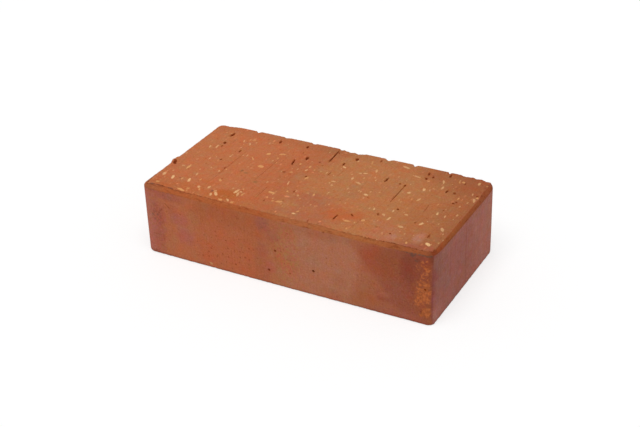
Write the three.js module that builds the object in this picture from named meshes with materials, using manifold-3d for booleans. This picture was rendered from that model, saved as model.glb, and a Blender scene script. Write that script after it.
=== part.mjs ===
// A solid clay brick, extruded as a column and cut off with wires, then fired.
// Millimetres, +Z up. The origin is the centre of the bottom face, and +X runs along the length.
// The two beds (top and bottom) are the cut faces. The four upright faces are smooth die skin.
// The cutting wires enter at the front (-Y) and leave at the back (+Y): where a wire enters it rolls
// the edge over, and where it leaves it tears small bays out of it.

import * as THREE from "three";
import { mergeVertices } from "three/addons/utils/BufferGeometryUtils.js";
import Module from "manifold-3d";

// Overall size of the fired brick.
const LENGTH = 250;
const WIDTH = 120;
const HEIGHT = 60;

// The die's rounded corners run down the four upright edges. On this brick they differ a little.
const ARRIS_FRONT_LEFT = 8;
const ARRIS_FRONT_RIGHT = 5;
const ARRIS_BACK_LEFT = 7;
const ARRIS_BACK_RIGHT = 8;

// Lower edge: a small even wear.
const FOOT_ROUND = 1;

// Upper edge: how far the roll reaches in over the bed, and how far it comes down the face.
const ROLL_FRONT = { reach: 4.3, drop: 2.3 };
const ROLL_RIGHT = { reach: 2.4, drop: 3.7 };
const ROLL_LEFT = { reach: 2.6, drop: 3 };
const ROLL_BACK = { reach: 0.6, drop: 0.5 };

// 1 is a straight chamfer, 2 is a full round, and below 1 the edge is hollow.
const ROLL_FULLNESS = 1.4;
const TEAR_FULLNESS = 0.8;

// The front roll gets wider towards its left end, where the wire touched the column first.
const ENTRY_EXTRA_REACH = 1.9;
const ENTRY_LENGTH = 45;

// Bays that the wire tore out of the back edge: place along the edge as a share of the length from
// the left end, then the bay's width and how deep it reaches in.
const TEARS = [
  { share: 0.03, width: 26, depth: 2.2 },
  { share: 0.15, width: 6.5, depth: 2.4 },
  { share: 0.262, width: 9, depth: 1.2 },
  { share: 0.366, width: 6, depth: 1.9 },
  { share: 0.478, width: 14, depth: 1.7 },
  { share: 0.504, width: 13, depth: 2.4 },
  { share: 0.53, width: 16, depth: 2.6 },
  { share: 0.639, width: 8, depth: 2.3 },
  { share: 0.732, width: 7, depth: 2.6 },
  { share: 0.85, width: 8, depth: 1.2 },
  { share: 0.904, width: 14, depth: 1.4 },
  { share: 0.94, width: 10, depth: 1.4 },
  { share: 0.972, width: 12, depth: 2 },
];
const TEAR_DROP_SHARE = 0.8; // a bay goes down the face by this share of its depth

// A lip of clay that the wire dragged out over the left end's upper edge, beside a small crater:
// how far it fills the roll outwards and upwards.
const LIP = { share: 0.397, width: 11, reach: 2.5, rise: 1.5 };

// Cuts in the upper bed: drag cracks and slots left by grit under the wire, and pits where grit fell
// out. Places are shares of the length from the left end and of the width from the front, and
// length (across the brick), width and depth are sizes. Turn is in degrees from straight across.
const BED_CUTS = [
  { name: "long crack", along: 0.753, across: 0.605, length: 28, width: 0.8, depth: 1.6, turn: 0 },
  { name: "crack at the back edge", along: 0.463, across: 0.89, length: 24, width: 1.3, depth: 2, turn: 4 },
  { name: "short slot", along: 0.365, across: 0.695, length: 9, width: 1.4, depth: 1.8, turn: 10 },
  { name: "front slot", along: 0.647, across: 0.167, length: 6.5, width: 1.2, depth: 1.4, turn: 0 },
  { name: "crater by the lip", along: 0.017, across: 0.372, length: 8.5, width: 3, depth: 1.6, turn: 28 },
  { name: "grit pit", along: 0.392, across: 0.782, length: 5, width: 3, depth: 1.6, turn: 8 },
  { name: "upper left pit", along: 0.088, across: 0.885, length: 6.5, width: 2.2, depth: 1.4, turn: 0 },
  { name: "lower left pit", along: 0.096, across: 0.742, length: 6, width: 2, depth: 1.2, turn: 8 },
  { name: "left back pit", along: 0.259, across: 0.923, length: 6, width: 2.4, depth: 1.4, turn: 15 },
  { name: "middle back pit", along: 0.543, across: 0.905, length: 4, width: 2.6, depth: 1.4, turn: 20 },
  { name: "right back pit", along: 0.792, across: 0.92, length: 4.5, width: 2, depth: 1.3, turn: 15 },
  { name: "right back twin", along: 0.795, across: 0.857, length: 4, width: 2.2, depth: 1.2, turn: 25 },
];

// How finely the curves are cut into facets.
const ARRIS_STEPS = 6;
const FOOT_STEPS = 2;
const ROLL_STEPS = 4;
const TEAR_PITCH = 2;
const PLAIN_PITCH = 9;
const LIP_PITCH = 2.5;
const CUT_SEGMENTS = 10;

const CLAY = new THREE.MeshStandardMaterial({ color: 0xb0603c, roughness: 0.9, metalness: 0 });

// A smooth bump, 1 in its middle and 0 from half its width outwards.
function bump(distance, width) {
  const t = Math.min(Math.abs(distance) / (width / 2), 1);
  return (1 + Math.cos(Math.PI * t)) / 2;
}

// One straight side of the outline. The outline turns anticlockwise seen from above, so each side
// starts where the last corner ended. `edge(p)` gives the upper edge at the point p.
function side(from, to, normal, pitch, edge) {
  const stations = [];
  const steps = Math.max(1, Math.ceil(from.distanceTo(to) / pitch));
  for (let i = 0; i <= steps; i++) {
    const p = from.clone().lerp(to, i / steps);
    stations.push({ p, normal, ...edge(p) });
  }
  return stations;
}

// One rounded corner. Its upper edge blends from the side before it to the side after it.
function corner(radius, centre, startAngle, before, after) {
  const stations = [];
  for (let i = 1; i < ARRIS_STEPS; i++) {
    const share = i / ARRIS_STEPS;
    const angle = startAngle + (share * Math.PI) / 2;
    const normal = new THREE.Vector2(Math.cos(angle), Math.sin(angle));
    stations.push({
      p: centre.clone().addScaledVector(normal, radius),
      normal,
      reach: THREE.MathUtils.lerp(before.reach, after.reach, share),
      drop: THREE.MathUtils.lerp(before.drop, after.drop, share),
      fullness: THREE.MathUtils.lerp(before.fullness, after.fullness, share),
    });
  }
  return stations;
}

// The upper edge along the front: a roll that widens towards the left end.
function frontEdge(p) {
  const fromLeft = p.x + LENGTH / 2;
  const extra = ENTRY_EXTRA_REACH * bump(fromLeft, 2 * ENTRY_LENGTH);
  return { reach: ROLL_FRONT.reach + extra, drop: ROLL_FRONT.drop, fullness: ROLL_FULLNESS };
}

// The upper edge along the back: a small roll with torn bays.
function backEdge(p) {
  let depth = 0;
  for (const tear of TEARS) {
    const middle = (tear.share - 0.5) * LENGTH;
    depth = Math.max(depth, tear.depth * bump(p.x - middle, tear.width));
  }
  const deepest = Math.max(...TEARS.map((tear) => tear.depth));
  return {
    reach: ROLL_BACK.reach + depth,
    drop: ROLL_BACK.drop + depth * TEAR_DROP_SHARE,
    fullness: THREE.MathUtils.lerp(ROLL_FULLNESS, TEAR_FULLNESS, depth / deepest),
  };
}

function rightEdge() {
  return { ...ROLL_RIGHT, fullness: ROLL_FULLNESS };
}

// The upper edge along the left end, where a lip stands out of the roll.
function leftEdge(p) {
  const middle = (LIP.share - 0.5) * WIDTH;
  const share = bump(p.y - middle, LIP.width);
  return {
    reach: ROLL_LEFT.reach - LIP.reach * share,
    drop: ROLL_LEFT.drop - LIP.rise * share,
    fullness: ROLL_FULLNESS,
  };
}

// Every station of the outline, in order round the brick.
function outlineStations() {
  const x = LENGTH / 2;
  const y = WIDTH / 2;
  const at = (px, py) => new THREE.Vector2(px, py);

  // The middles of the four corners.
  const frontLeft = at(ARRIS_FRONT_LEFT - x, ARRIS_FRONT_LEFT - y);
  const frontRight = at(x - ARRIS_FRONT_RIGHT, ARRIS_FRONT_RIGHT - y);
  const backRight = at(x - ARRIS_BACK_RIGHT, y - ARRIS_BACK_RIGHT);
  const backLeft = at(ARRIS_BACK_LEFT - x, y - ARRIS_BACK_LEFT);

  const front = side(at(frontLeft.x, -y), at(frontRight.x, -y), at(0, -1), PLAIN_PITCH, frontEdge);
  const right = side(at(x, frontRight.y), at(x, backRight.y), at(1, 0), PLAIN_PITCH, rightEdge);
  const back = side(at(backRight.x, y), at(backLeft.x, y), at(0, 1), TEAR_PITCH, backEdge);
  const left = side(at(-x, backLeft.y), at(-x, frontLeft.y), at(-1, 0), LIP_PITCH, leftEdge);

  return [
    ...front,
    ...corner(ARRIS_FRONT_RIGHT, frontRight, -Math.PI / 2, front.at(-1), right[0]),
    ...right,
    ...corner(ARRIS_BACK_RIGHT, backRight, 0, right.at(-1), back[0]),
    ...back,
    ...corner(ARRIS_BACK_LEFT, backLeft, Math.PI / 2, back.at(-1), left[0]),
    ...left,
    ...corner(ARRIS_FRONT_LEFT, frontLeft, Math.PI, left.at(-1), front[0]),
  ];
}

// The rings from the foot to the bed, each one point for each station.
function rings(stations) {
  const made = [];
  const ring = (shape) => {
    made.push(
      stations.map((s) => {
        const { inset, z } = shape(s);
        return new THREE.Vector3(s.p.x - s.normal.x * inset, s.p.y - s.normal.y * inset, z);
      }),
    );
  };
  for (let i = 0; i <= FOOT_STEPS; i++) {
    const angle = ((i / FOOT_STEPS) * Math.PI) / 2;
    ring(() => ({
      inset: FOOT_ROUND * (1 - Math.sin(angle)),
      z: FOOT_ROUND * (1 - Math.cos(angle)),
    }));
  }
  for (let i = 0; i <= ROLL_STEPS; i++) {
    const angle = ((i / ROLL_STEPS) * Math.PI) / 2;
    ring((s) => ({
      inset: s.reach * (1 - Math.max(Math.cos(angle), 0) ** (2 / s.fullness)),
      z: HEIGHT - s.drop * (1 - Math.sin(angle) ** (2 / s.fullness)),
    }));
  }
  return made;
}

// The closed body through the rings, with a flat bed on the first and on the last.
function loft(levels) {
  const count = levels[0].length;
  const positions = levels.flat().flatMap((p) => [p.x, p.y, p.z]);
  const index = [];
  for (let r = 0; r + 1 < levels.length; r++) {
    for (let i = 0; i < count; i++) {
      const next = (i + 1) % count;
      const a = r * count + i;
      const b = r * count + next;
      index.push(a, b, b + count, a, b + count, a + count);
    }
  }
  const cap = (level, first, upward) => {
    const contour = level.map((p) => new THREE.Vector2(p.x, p.y));
    for (const [a, b, c] of THREE.ShapeUtils.triangulateShape(contour, [])) {
      index.push(first + a, first + (upward ? b : c), first + (upward ? c : b));
    }
  };
  cap(levels[0], 0, false);
  cap(levels.at(-1), (levels.length - 1) * count, true);

  const geometry = new THREE.BufferGeometry();
  geometry.setAttribute("position", new THREE.Float32BufferAttribute(positions, 3));
  geometry.setIndex(index);
  return geometry;
}

// The tool that cuts one crack, slot or pit: an ellipsoid with its middle on the bed.
function cutTool({ along, across, length, width, depth, turn }) {
  const tool = new THREE.SphereGeometry(1, CUT_SEGMENTS, CUT_SEGMENTS - 2);
  tool.rotateX(Math.PI / 2);
  tool.scale(width / 2, length / 2, depth);
  tool.rotateZ(THREE.MathUtils.degToRad(turn));
  tool.translate((along - 0.5) * LENGTH, (across - 0.5) * WIDTH, HEIGHT);
  return tool;
}

const wasm = await Module();
wasm.setup();

function toSolid(geometry) {
  const bare = geometry.clone();
  bare.deleteAttribute("normal");
  bare.deleteAttribute("uv");
  const merged = mergeVertices(bare);
  return new wasm.Manifold(
    new wasm.Mesh({
      numProp: 3,
      vertProperties: new Float32Array(merged.attributes.position.array),
      triVerts: new Uint32Array(merged.index.array),
    }),
  );
}

function toGeometry(solid) {
  const mesh = solid.getMesh();
  const geometry = new THREE.BufferGeometry();
  geometry.setAttribute("position", new THREE.Float32BufferAttribute(mesh.vertProperties, mesh.numProp));
  geometry.setIndex(new THREE.BufferAttribute(mesh.triVerts, 1));
  geometry.computeVertexNormals();
  return geometry;
}

function makeBrick() {
  let solid = toSolid(loft(rings(outlineStations())));
  for (const cut of BED_CUTS) solid = solid.subtract(toSolid(cutTool(cut)));
  const brick = new THREE.Mesh(toGeometry(solid), CLAY);
  brick.name = "brick";
  return brick;
}

const group = new THREE.Group();
group.add(makeBrick());

export default group;
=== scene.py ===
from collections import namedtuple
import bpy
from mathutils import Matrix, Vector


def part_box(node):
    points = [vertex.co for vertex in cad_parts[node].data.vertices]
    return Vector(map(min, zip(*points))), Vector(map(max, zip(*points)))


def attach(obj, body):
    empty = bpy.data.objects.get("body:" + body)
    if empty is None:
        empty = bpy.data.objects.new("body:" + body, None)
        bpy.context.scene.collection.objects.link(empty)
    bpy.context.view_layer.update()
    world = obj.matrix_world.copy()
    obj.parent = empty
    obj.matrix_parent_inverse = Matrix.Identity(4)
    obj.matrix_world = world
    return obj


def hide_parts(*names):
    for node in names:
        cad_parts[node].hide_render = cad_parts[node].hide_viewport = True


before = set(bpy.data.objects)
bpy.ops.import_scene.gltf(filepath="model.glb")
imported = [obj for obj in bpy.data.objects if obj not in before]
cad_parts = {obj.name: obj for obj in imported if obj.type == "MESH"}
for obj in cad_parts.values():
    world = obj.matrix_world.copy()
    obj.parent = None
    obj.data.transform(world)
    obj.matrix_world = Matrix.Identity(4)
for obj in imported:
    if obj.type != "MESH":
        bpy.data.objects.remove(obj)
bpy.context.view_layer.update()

# The looks of a solid clay brick: extruded, cut off with wires, fired. Lengths here are millimetres
# in the CAD frame (origin under the middle, +X along the length, front face at -Y, +Z up), and
# become metres when a mesh, light or camera is made.

from types import SimpleNamespace

import bpy
import numpy as np
from mathutils import Euler, Matrix, Vector, noise

MM = 0.001
# Points of the sharp box lie on one of its sides when they are this near to it.
ON_SIDE = 0.001

low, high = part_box("brick")
LENGTH, WIDTH, HEIGHT = (high - low) / MM


def add_object(name, data):
    made = bpy.data.objects.new(name, data)
    bpy.context.scene.collection.objects.link(made)
    return made


# ---- Camera, fitted to the photograph's outline: degrees and millimetres ----

CAMERA_AZIMUTH = 29.21
CAMERA_ELEVATION = 29.95
CAMERA_ROLL = -2.07
CAMERA_DISTANCE = 1000.6
CAMERA_LENS = 71.63
CAMERA_SENSOR = 36
CAMERA_NEAR = 50
CAMERA_AIM = Vector((0, 0, 32))
AIM_RIGHT = 1.93
AIM_UP = 0.82


def make_camera():
    data = bpy.data.cameras.new("camera")
    data.lens = CAMERA_LENS
    data.sensor_width = CAMERA_SENSOR
    data.clip_start = CAMERA_NEAR * MM
    camera = add_object("camera", data)
    tilt = np.radians(90 - CAMERA_ELEVATION)
    turn = Euler((tilt, 0, np.radians(CAMERA_AZIMUTH))).to_matrix()
    turn = turn @ Matrix.Rotation(np.radians(CAMERA_ROLL), 3, "Z")
    right, up, back = turn.col
    place = CAMERA_AIM + right * AIM_RIGHT + up * AIM_UP + back * CAMERA_DISTANCE
    camera.matrix_world = Matrix.Translation(place * MM) @ turn.to_4x4()
    bpy.context.scene.camera = camera


# ---- Sizes of the brick's form, as in the part. Some bays of the back edge are set finer. ----

ARRIS_FRONT_LEFT = 8.0
ARRIS_FRONT_RIGHT = 5.0
ARRIS_BACK_LEFT = 7.0
ARRIS_BACK_RIGHT = 8.0
# An edge: how far it reaches in over the bed, how far it comes down the side, and its fullness.
Roll = namedtuple("Roll", "reach drop fullness")
FOOT = Roll(1.0, 1.0, 2.0)
ROLL_FRONT = Roll(4.3, 2.3, 1.4)
ROLL_RIGHT = Roll(2.4, 3.7, 1.4)
ROLL_LEFT = Roll(2.6, 3.0, 1.4)
ROLL_BACK = Roll(0.6, 0.5, 1.4)
TEAR_FULLNESS = 0.8
TEAR_DROP_SHARE = 0.8
ENTRY_EXTRA_REACH = 1.9
ENTRY_LENGTH = 45
# The lip, and the shoulder and so on below, are each a middle and a width along their side.
LIP = (47.2, 10.5)
LIP_REACH = 2.5
LIP_RISE = 1.5

# What the part leaves out: the varying wear of the foot, the lip's crest and its lower shoulder,
# how much sharper the left end's roll is towards the front and the back edge is between its bays,
# where the right end's roll is wider and the front's is narrower, and the near right corner, where
# the bed's outline is rounded and the roll is shallower.
FOOT_WEAR = 0.45
LIP_CREST = 1.3
SHOULDER = (50.8, 8)
SHOULDER_SHARE = 0.7
LEFT_SHARPER = 0.2
BACK_SHARPER = 0.6
WIDER = (103, 28)
WIDER_REACH = 1.2
NARROWER = (186, 64)
NARROWER_REACH = 1.0
BED_CORNER = 5.0
CORNER_SHALLOWER = 0.85
CORNER_SIZE = 10.0

# The bays that the wire tore out of the back edge: middle (from the left end), width and depth.
TEARS = [
    (9, 30, 2.2), (38.5, 5.5, 3), (65.5, 9, 1.2), (91.5, 6, 1.9), (117, 7.5, 1.8), (122.5, 11, 1.8),
    (126, 13, 2.4), (132.5, 16, 2.6), (159.2, 9, 2.4), (182.4, 5.5, 3.1), (212, 3.4, 2.8),
    (226, 14, 1.4), (235, 10, 1.4), (243, 12, 2),
]

# Marks on the upper bed. Places are from the left end and from the front edge. Turn is in degrees
# from the wire's way (across the brick), anticlockwise seen from above.

# Cracks and slots that grit tore under the wire: place, length, width, depth, turn.
CRACKS = [
    (189, 72, 28, 0.8, 0.8, 1), (116.3, 106.5, 23, 1.3, 2, 4), (91.2, 83.5, 8.5, 1.6, 1.8, 12),
    (162.2, 20, 7, 1.4, 1.4, -2), (171.9, 88.3, 7.5, 1.4, 1.8, 0), (126.8, 78, 6.5, 0.8, 0.7, 0),
    (217.9, 60.5, 14, 0.5, 0.5, 3), (134.2, 82.5, 17, 0.35, 0.45, 0), (47.3, 54, 70, 0.4, 0.4, 0),
    (78.5, 64, 44, 0.4, 0.45, 0), (93.4, 30.5, 22, 0.5, 0.5, 0), (154.6, 16, 14, 0.4, 0.25, 0),
    (180.4, 18, 16, 0.4, 0.4, -7),
]

# Pits that grit fell out of: place, length, width, depth, turn.
PITS = [
    (4, 44.5, 8.5, 2.6, 1.3, 28), (21.3, 105.2, 7, 2.4, 1.6, -3), (23, 90, 3.4, 2.2, 1.4, 20),
    (23.9, 84, 3, 1.3, 0.9, 10), (64.4, 110.2, 5.4, 1.9, 1, 18), (42.4, 82, 3.8, 1.7, 0.8, 10),
    (46.6, 51.9, 2.8, 1.5, 0.65, 20), (36, 62.9, 1.8, 1.8, 0.8, 0), (89.3, 111.2, 3.8, 2, 1.5, 12),
    (98.3, 94, 5.4, 2.6, 1.7, 8), (92.5, 66, 2.4, 2.4, 0.7, 30), (135.7, 109, 4.4, 2.8, 1.6, 20),
    (129.6, 97.6, 4.6, 1.5, 1.5, 8), (112.2, 66.6, 2.6, 1.4, 0.8, 0),
    (197.9, 110.4, 4.6, 1.6, 1, 12), (202.9, 106.8, 3.2, 1.5, 0.9, 10), (199, 102.6, 3.4, 2, 1, 25),
    (214.4, 114.3, 5.5, 1.8, 0.9, 5), (221.4, 90.6, 4, 1.5, 1.5, 0),
    (227.7, 90.4, 3.2, 1.9, 0.8, 20), (184, 86.4, 2.8, 1.4, 0.8, 15),
    (188.6, 85.4, 3.4, 1.7, 1.5, 0), (234.5, 78, 2.6, 1.3, 0.7, 15), (232.7, 75.8, 2.2, 1.6, 1, 40),
    (199.3, 50.2, 2.4, 1.8, 1.3, 20), (172.4, 28, 3.8, 1.2, 1, 45), (189, 37.4, 3.4, 1.6, 0.7, 20),
    (235.7, 24.4, 6, 1.1, 0.7, 3), (209.1, 15.8, 2, 1.6, 1.1, 10), (196, 20.2, 1, 2.2, 0.7, 30),
    (115.6, 41.5, 3.2, 1.2, 0.7, 10), (146.4, 6.8, 4.6, 1.1, 0.45, 10), (155.2, 6, 2.4, 1, 0.3, 0),
    (110.7, 92.3, 1.8, 1.4, 0.7, 0), (115.5, 88, 2, 1.4, 0.4, 0), (117.6, 113, 2.6, 0.9, 0.8, 20),
    (23.2, 23.2, 2.2, 1.2, 0.4, 30), (78.8, 25.6, 2.2, 1, 0.35, 30), (74, 13, 2.4, 1.4, 0.3, 0),
    (101.6, 19.6, 2.6, 1.2, 0.6, 5), (154.6, 114.4, 3.4, 1.4, 0.8, 10),
    (229.5, 107.4, 2.4, 1.2, 0.8, 10), (218.9, 37.6, 2.4, 1.2, 0.8, 20),
    (230.7, 62.6, 2.4, 1, 0.6, 10), (170.8, 57.2, 1.4, 1.4, 0.5, 0),
    (54.4, 35.2, 1.4, 1.8, 0.6, 40), (245.2, 93, 2.4, 1.3, 0.6, 10), (61.8, 54.4, 2, 1.2, 0.35, 0),
    (94.4, 57, 2, 1.3, 0.3, 0), (91, 101, 3.2, 1.3, 0.3, 15), (53.3, 110, 2.6, 1.2, 0.35, 15),
    (65, 46.6, 1.4, 1.2, 0.35, 0),
]

# Grains of pale marl in the clay: place, length, width, turn, and how much of its tint shows.
CREAM_GRAINS = [
    (15.4, 79.2, 4.6, 1.6, 18, 0.5), (20.9, 81.3, 6, 1.6, 8, 0.6), (36.1, 99, 4.6, 1.2, 18, 0.5),
    (43.5, 96, 4.4, 1.4, 22, 0.5), (64, 110.8, 2.4, 0.9, 20, 0.5), (51.8, 78, 3.8, 1.3, 12, 0.5),
    (40.1, 70.8, 3.6, 1.4, 0, 0.5), (26.6, 61, 4.2, 1.2, 12, 0.6), (32.2, 33.4, 5.4, 1.4, 15, 0.5),
    (45.1, 45.8, 3.4, 1.5, 10, 0.5), (36.4, 48, 3, 1.1, 25, 0.4), (7.7, 23.8, 6, 2.8, 14, 0.65),
    (17.2, 21.7, 6, 2.3, 18, 0.95), (31.7, 22.8, 6, 2.2, 18, 0.9), (44.6, 16.8, 3.4, 2.4, 35, 0.6),
    (52.4, 19.5, 4.2, 2.1, 10, 0.6), (62.7, 12.8, 6.8, 2.4, 40, 0.8), (59.6, 10.4, 5, 2, 28, 0.7),
    (60, 16.4, 3.2, 2.6, 0, 0.45), (75.2, 22.8, 6.8, 2.4, -6, 0.75),
    (78.3, 19.6, 6.6, 1.9, 18, 0.55), (78.9, 23.4, 3.4, 1.7, 40, 0.45),
    (78.5, 27.6, 3.4, 1.5, 40, 0.35), (76.2, 8.2, 4.4, 1.5, 46, 0.65),
    (107.4, 76, 3.4, 1.9, -20, 0.55), (104.8, 51.6, 6.8, 1.3, 18, 0.55),
    (121.4, 37, 3.2, 1.7, 25, 0.4), (119, 78.8, 2.4, 1.6, 0, 0.25), (131.7, 11.8, 2, 3, -10, 0.85),
    (132.5, 93, 2, 4, -30, 0.65), (138.1, 106.6, 2.8, 1.6, 20, 0.4),
    (146.8, 79, 3.4, 1.7, 20, 0.65), (154.4, 74, 2.2, 6.2, -26, 0.4),
    (158.5, 97.6, 6, 1.8, 22, 0.45), (148.6, 89, 2, 3.4, 10, 0.4), (152.4, 90.6, 1.8, 3.4, 15, 0.5),
    (167.6, 60.2, 2.4, 4, -15, 0.7), (135.5, 68.4, 1.9, 4.2, 0, 0.5),
    (133.9, 65, 2.8, 1.3, 25, 0.4), (137.1, 62.4, 2.4, 1.6, 20, 0.5), (151, 62.6, 3.8, 1.2, 5, 0.4),
    (162.2, 62.6, 3.4, 1.4, 5, 0.35), (162.2, 87.4, 3.6, 1.2, 15, 0.4),
    (164.6, 83.6, 2.6, 1.1, 10, 0.4), (140.5, 50.2, 3.8, 1, 0, 0.5), (177.1, 113, 2.5, 7, -18, 0.5),
    (190.9, 102.6, 1.8, 7.4, -12, 0.4), (213.4, 103.2, 6.4, 1.6, 20, 0.55),
    (216.3, 94.4, 5.2, 1.8, 5, 0.6), (178.5, 96, 2.8, 1.2, 10, 0.25),
    (204.6, 85.8, 4.4, 2.2, 15, 0.7), (209, 86.6, 3, 1, 15, 0.35), (211, 90, 1.2, 3, -20, 0.3),
    (196.2, 76.6, 3.2, 2.8, 0, 0.6), (207.4, 70, 5, 2, -14, 0.45), (245.6, 85.8, 5.6, 2, 20, 0.5),
    (241, 94, 3.6, 1.3, 15, 0.5), (239.4, 111.6, 4.8, 2.2, 8, 0.5), (228.5, 56.4, 5, 1.5, 10, 0.65),
    (235.3, 54.6, 4, 1.2, 5, 0.5), (242.6, 60, 3.4, 1.5, 0, 0.4), (208.4, 45.4, 2.6, 3, -10, 0.4),
    (197.2, 46.4, 3.8, 1.3, 10, 0.6), (183, 43.2, 3.8, 1.2, 8, 0.7),
    (193.2, 38.4, 3.6, 2, 40, 0.45), (199.2, 34.6, 5.2, 1.7, -6, 0.6),
    (223.8, 38, 5, 2.2, -18, 0.7), (240.9, 36.8, 5.6, 2.4, 32, 0.5),
    (212, 27.8, 2.8, 4.2, -10, 0.4), (203.4, 14.2, 3, 1, 20, 0.35),
    (239.8, 13.8, 3, 5.4, -38, 0.95), (117, 42.4, 3.4, 1.1, 5, 0.4),
    (194.2, 63.4, 2.6, 1, 10, 0.35), (175.7, 67.6, 3, 1.5, 5, 0.25), (14, 41.6, 2, 2.8, 0, 0.35),
    (18.2, 55.4, 3, 2.2, 0, 0.2),
]

GOLD_GRAINS = [
    (39.7, 103, 4.4, 1.3, 8, 0.65), (42.7, 104.2, 2.2, 3.2, 20, 0.55),
    (66.2, 87.6, 3.6, 3.4, 0, 0.8), (76.7, 91.6, 2.6, 5.6, 25, 0.65), (76.9, 84, 3, 1.8, 20, 0.45),
    (58.6, 75.2, 5.4, 1.5, 42, 0.7), (71.4, 66.2, 3.8, 5.4, -10, 0.8), (19.1, 41.8, 7.4, 2, 2, 0.9),
    (48.9, 50, 3.2, 1.1, 20, 0.7), (54.2, 33, 4.6, 2.4, 40, 0.65), (25.2, 22.6, 3.6, 1.7, 16, 0.6),
    (39.5, 27.6, 3.4, 1.3, 5, 0.7), (47.3, 13.4, 3.8, 1.4, 30, 0.8), (82, 20, 3.6, 1.7, 10, 0.6),
    (34.3, 7.2, 2.6, 7.4, -16, 0.9), (38.3, 11, 3.2, 3, 0, 0.45), (39.4, 7.6, 3, 1.4, 30, 0.5),
    (70.4, 6.8, 2.6, 3.8, -10, 0.8), (80.8, 6.8, 3.2, 3, 0, 0.6), (10.2, 10.6, 2.2, 3.4, 0, 0.65),
    (98.2, 83, 3, 1.3, 10, 0.8), (107.5, 82, 4.6, 1.5, 3, 0.8), (98.2, 68, 2.6, 3, 0, 0.45),
    (113.9, 64.4, 4, 2.4, -15, 0.7), (126.3, 43.4, 1.5, 2.6, 0, 0.55),
    (131.8, 43, 3.8, 1.7, 8, 0.9), (110.8, 39.4, 2.6, 1.8, 20, 0.7),
    (100.6, 32.6, 2.4, 6.6, -6, 0.9), (103.2, 35, 3.2, 1.2, -10, 0.55),
    (101.3, 25, 2.8, 1.4, 30, 0.65), (113, 22.6, 3, 5.4, 20, 0.65), (108, 21.6, 2.4, 2.4, 0, 0.55),
    (132.9, 15.8, 3.6, 1.9, -20, 0.55), (141.5, 28.4, 3.4, 3.4, 0, 0.25),
    (149.4, 108.8, 7.4, 1.5, 18, 0.45), (150.6, 102, 3.2, 1.2, 0, 0.35),
    (202.2, 99.8, 2, 2.6, 0, 0.65), (224.7, 107.6, 3.2, 1.6, 20, 0.55),
    (227.5, 109, 3, 2.4, 40, 0.7), (233.8, 83.8, 3.4, 1.5, 0, 0.65), (183.1, 24.6, 3.4, 3, 0, 0.65),
    (172.5, 18.8, 2.4, 6, 0, 0.65), (177.3, 9.2, 3.2, 1.5, 15, 0.65),
    (225.1, 9.3, 3.2, 1.5, 10, 0.8), (246.2, 90.6, 2.6, 2, 0, 0.8), (246.2, 110.4, 2.4, 2, 0, 0.45),
    (202.2, 68.4, 3.6, 1.1, 10, 0.45), (223.5, 69, 3.6, 1.2, 8, 0.55),
]

RUST_GRAINS = [
    (7.2, 27, 3, 2.6, 0, 0.5), (113.9, 74.6, 2, 2.2, 0, 0.6), (121.9, 115, 2, 3.2, 0, 0.5),
    (84.1, 76.2, 2.6, 2, 0, 0.7), (69, 78.6, 2.8, 1.2, 20, 0.6), (79.5, 77, 3, 1, 10, 0.6),
    (114.4, 32.2, 2.4, 5, 0, 0.8), (237.1, 83.4, 2.8, 1.2, -5, 0.6), (168.9, 20, 3, 2, 0, 0.6),
    (134.1, 4.8, 2, 3, 0, 0.35), (58.6, 109.6, 4, 1.6, 0, 0.8), (34.7, 60.6, 3, 1.4, 10, 0.6),
    (65.8, 60.8, 3.4, 1.4, 0, 0.5), (26.6, 13.8, 2.4, 1.8, 20, 0.8), (118.2, 8.4, 2.8, 1.8, 0, 0.9),
    (155, 9.6, 3, 1.8, 0, 0.9),
]

# Pits in the front's skin: place (from the left end and from the floor), size, depth, darkness.
SKIN_PITS = [
    (153.2, 21.4, 2.2, 2, 1), (120.8, 30.7, 2.2, 0.8, 0.7), (114.6, 12.1, 2.4, 0.9, 0.8),
    (243.9, 30.2, 2.2, 0.6, 0.8), (76.9, 28.4, 1.5, 0.4, 0.5), (84.6, 8.9, 1.8, 0.4, 0.5),
    (133.1, 13.9, 1.8, 0.4, 0.4), (54.8, 9.3, 1.5, 0.4, 0.5), (164.7, 35.9, 1.4, 0.3, 0.4),
    (200, 19.4, 1.3, 0.3, 0.4), (88.1, 11.5, 1.3, 0.3, 0.4), (68, 11.7, 1.3, 0.3, 0.3),
    (88.5, 50.3, 1.2, 0.3, 0.3), (80.4, 42.6, 1.3, 0.2, 0.3), (172.6, 32.4, 1.5, 0.2, 0.25),
    (162.8, 57.4, 1.6, 0.3, 0.5), (36.2, 41.2, 1.6, 0.2, 0.3), (16.4, 8.7, 1.3, 0.3, 0.3),
]

# ---- Colours, as sRGB, and the patches that the fire and the die left ----

# Colours are written as the studio shows them on that part of the brick. The clay itself is that
# colour less the surface's sheen, and brighter by the share of the light that the part doesn't get.
SHEEN = 0.0065
SPECULAR = 0.12
BED_LIGHT = 1.02
FRONT_LIGHT = 0.80
END_LIGHT = 0.70
ROLL_FRONT_LIGHT = 1.03
ROLL_END_LIGHT = 0.80

# The upper bed, as cut.
BED = {
    "terracotta": (187, 111, 72), "redder": (184, 107, 69), "dusk": (178, 106, 69),
    "ochre": (181, 116, 74), "tan": (178, 113, 71), "umber": (164, 101, 65), "burnt": (156, 90, 58),
    "ruddy": (156, 84, 54), "baked": (132, 66, 46), "mustard": (180, 102, 58),
    "rust": (184, 98, 58), "amber": (179, 96, 48), "dull": (174, 104, 72), "slate": (166, 114, 78),
    "pink": (180, 112, 81), "mauve": (180, 118, 94), "wine": (158, 94, 78), "soot": (104, 74, 64),
    "grit": (140, 100, 62),
}
# Its zones along the length: place from the left end, colour. Between them the colours blend.
BED_ZONES = [
    (64, "terracotta"), (88, "redder"), (108, "dusk"), (124, "ochre"), (165, "ochre"), (205, "tan"),
    (243, "umber"),
]
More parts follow.
